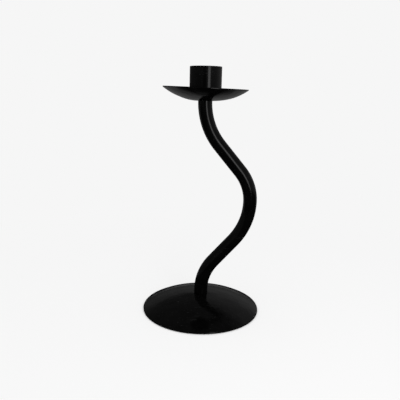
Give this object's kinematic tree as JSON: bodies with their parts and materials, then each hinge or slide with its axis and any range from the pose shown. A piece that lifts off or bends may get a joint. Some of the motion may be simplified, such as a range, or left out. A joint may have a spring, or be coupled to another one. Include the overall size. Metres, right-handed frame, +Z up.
{
  "type": "candle holder",
  "caption": "Black candle holder: a domed round base, a round stem bent into one wave, a shallow drip dish and a plain cup for a taper candle.",
  "frame": {"origin": "middle of the felt's underside, on the surface that it stands on", "axes": "+Z up along the candle, +X towards the crest of the stem's wave, +Y across the wave's flat plane, away from the front view"},
  "size_m": [0.0974, 0.0974, 0.2],
  "materials": {
    "black_lacquer": "semi-gloss black lacquer on steel",
    "zinc_plate": "bright zinc plate",
    "bare_steel": "turned, as machined",
    "felt": "pressed black felt",
    "fibreboard": "plain brown fibreboard"
  },
  "bodies": {
    "root": {"base_felt": "felt", "base_cover": "fibreboard", "base_dome": "black_lacquer", "base_washer": "zinc_plate", "base_spring_washer": "zinc_plate", "base_screw": "zinc_plate", "stem_tube": "black_lacquer", "stem_foot_insert": "bare_steel", "stem_head_insert": "bare_steel", "drip_dish": "black_lacquer", "candle_cup": "black_lacquer", "cup_screw": "zinc_plate"}
  },
  "joints": []
}
